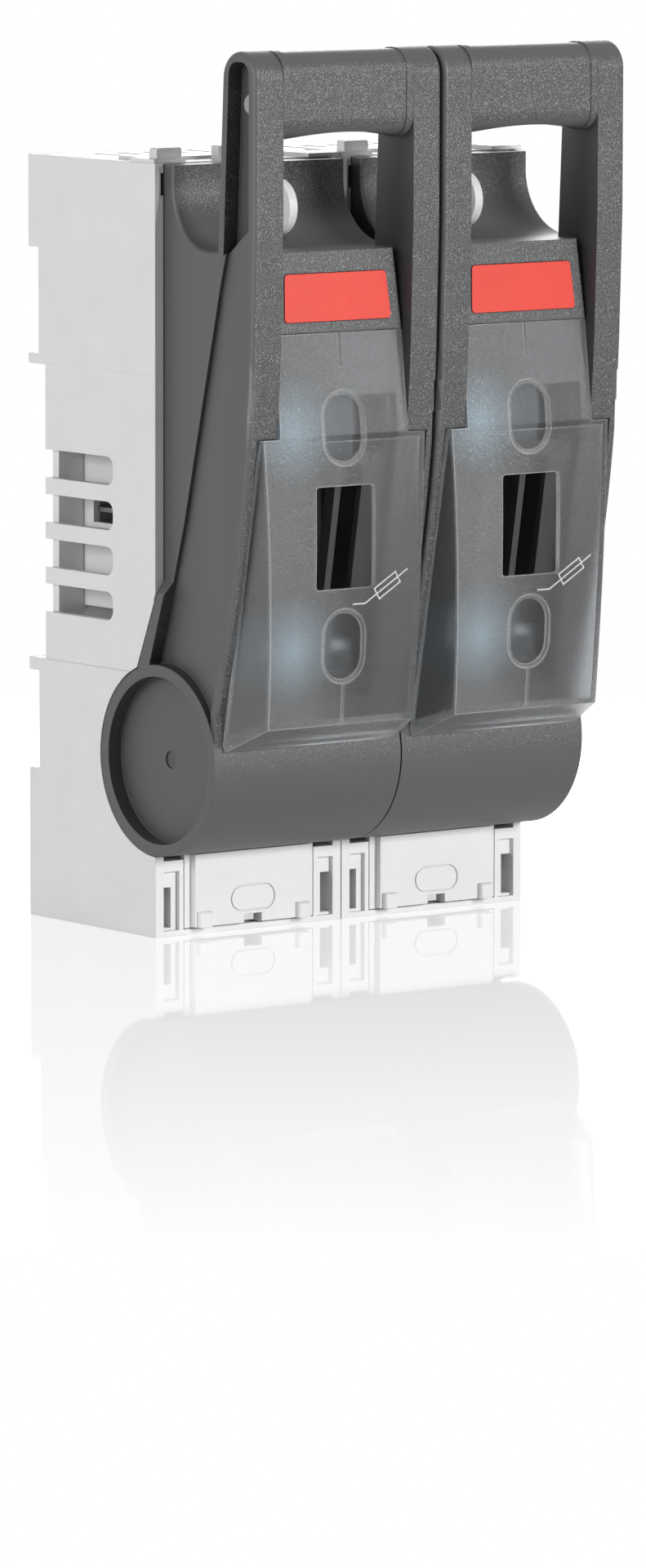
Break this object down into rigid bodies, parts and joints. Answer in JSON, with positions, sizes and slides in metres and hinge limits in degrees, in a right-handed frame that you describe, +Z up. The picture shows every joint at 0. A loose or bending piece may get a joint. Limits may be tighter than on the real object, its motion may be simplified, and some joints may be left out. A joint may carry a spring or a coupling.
{
  "type": "fuse switch disconnector",
  "caption": "Side-by-side fuse switch disconnectors with stepped grey housings, vented sides, dark hinged lids with open handles, frosted window covers and red label plates.",
  "frame": {"origin": "middle of the footprint at the lower end, where the device stands", "axes": "+X to the device's right seen from the front, +Y to the back (the lids face -Y), +Z up"},
  "size_m": [0.1464, 0.1194, 0.2793],
  "materials": {
    "housing_grey": "fine spark-eroded light grey moulding",
    "block_grey": "light grey insulating moulding",
    "chamber_grey": "pale grey heat-resistant moulding",
    "lid_dark_grey": "dark grey glass-filled moulding, grained front",
    "carrier_dark": "dark grey moulding",
    "catch_pale": "pale bluish moulding",
    "frosted_cover": "frosted see-through grey moulding",
    "label_red": "plain red plate",
    "pin_grey": "light grey moulding",
    "plated_copper": "tin-plated copper, drawn bar",
    "spring_steel": "bright rolled spring steel",
    "plate_steel": "rolled sheet steel",
    "pin_steel": "turned steel",
    "zinc_steel": "bright zinc-plated steel"
  },
  "bodies": {
    "base": {"left_base_housing": "housing_grey", "left_top_terminal_cover": "housing_grey", "left_bottom_terminal_cover": "housing_grey", "left_upper_contact": "plated_copper", "left_lower_contact": "plated_copper", "left_upper_contact_block": "block_grey", "left_lower_contact_block": "block_grey", "left_upper_jaw_springs": "spring_steel", "left_lower_jaw_springs": "spring_steel", "left_arc_chamber": "chamber_grey", "left_arc_plates": "plate_steel", "left_hinge_pins": "pin_steel", "right_base_housing": "housing_grey", "right_top_terminal_cover": "housing_grey", "right_bottom_terminal_cover": "housing_grey", "right_upper_contact": "plated_copper", "right_lower_contact": "plated_copper", "right_upper_contact_block": "block_grey", "right_lower_contact_block": "block_grey", "right_upper_jaw_springs": "spring_steel", "right_lower_jaw_springs": "spring_steel", "right_arc_chamber": "chamber_grey", "right_arc_plates": "plate_steel", "right_hinge_pins": "pin_steel", "terminal_bolts": "zinc_steel", "terminal_washers": "zinc_steel", "terminal_nuts": "zinc_steel", "contact_screws": "zinc_steel", "joining_keys": "block_grey"},
    "left_lid": {"left_lid_shell": "lid_dark_grey", "left_handle_grip": "lid_dark_grey", "left_grip_pin": "pin_grey", "left_window_cover": "frosted_cover", "left_label_plate": "label_red", "left_fuse_carrier": "carrier_dark", "left_fuse_catches": "catch_pale", "left_carrier_clips": "spring_steel"},
    "left_lock_tab": {"left_lock_tab": "pin_grey"},
    "right_lid": {"right_lid_shell": "lid_dark_grey", "right_handle_grip": "lid_dark_grey", "right_grip_pin": "pin_grey", "right_window_cover": "frosted_cover", "right_label_plate": "label_red", "right_fuse_carrier": "carrier_dark", "right_fuse_catches": "catch_pale", "right_carrier_clips": "spring_steel"},
    "right_lock_tab": {"right_lock_tab": "pin_grey"}
  },
  "joints": [
    {"name": "left_lid_hinge", "type": "hinge", "parent": "base", "child": "left_lid", "pos_m": [-0.0367, -0.00945, 0.0562], "axis": [1, 0, 0], "range_deg": [0, 90]},
    {"name": "left_lock_slide", "type": "slide", "parent": "left_lid", "child": "left_lock_tab", "axis": [0, -1, 0], "range_m": [0, 0.005]},
    {"name": "right_lid_hinge", "type": "hinge", "parent": "base", "child": "right_lid", "pos_m": [0.0367, -0.00945, 0.0562], "axis": [1, 0, 0], "range_deg": [0, 90]},
    {"name": "right_lock_slide", "type": "slide", "parent": "right_lid", "child": "right_lock_tab", "axis": [0, -1, 0], "range_m": [0, 0.005]}
  ]
}
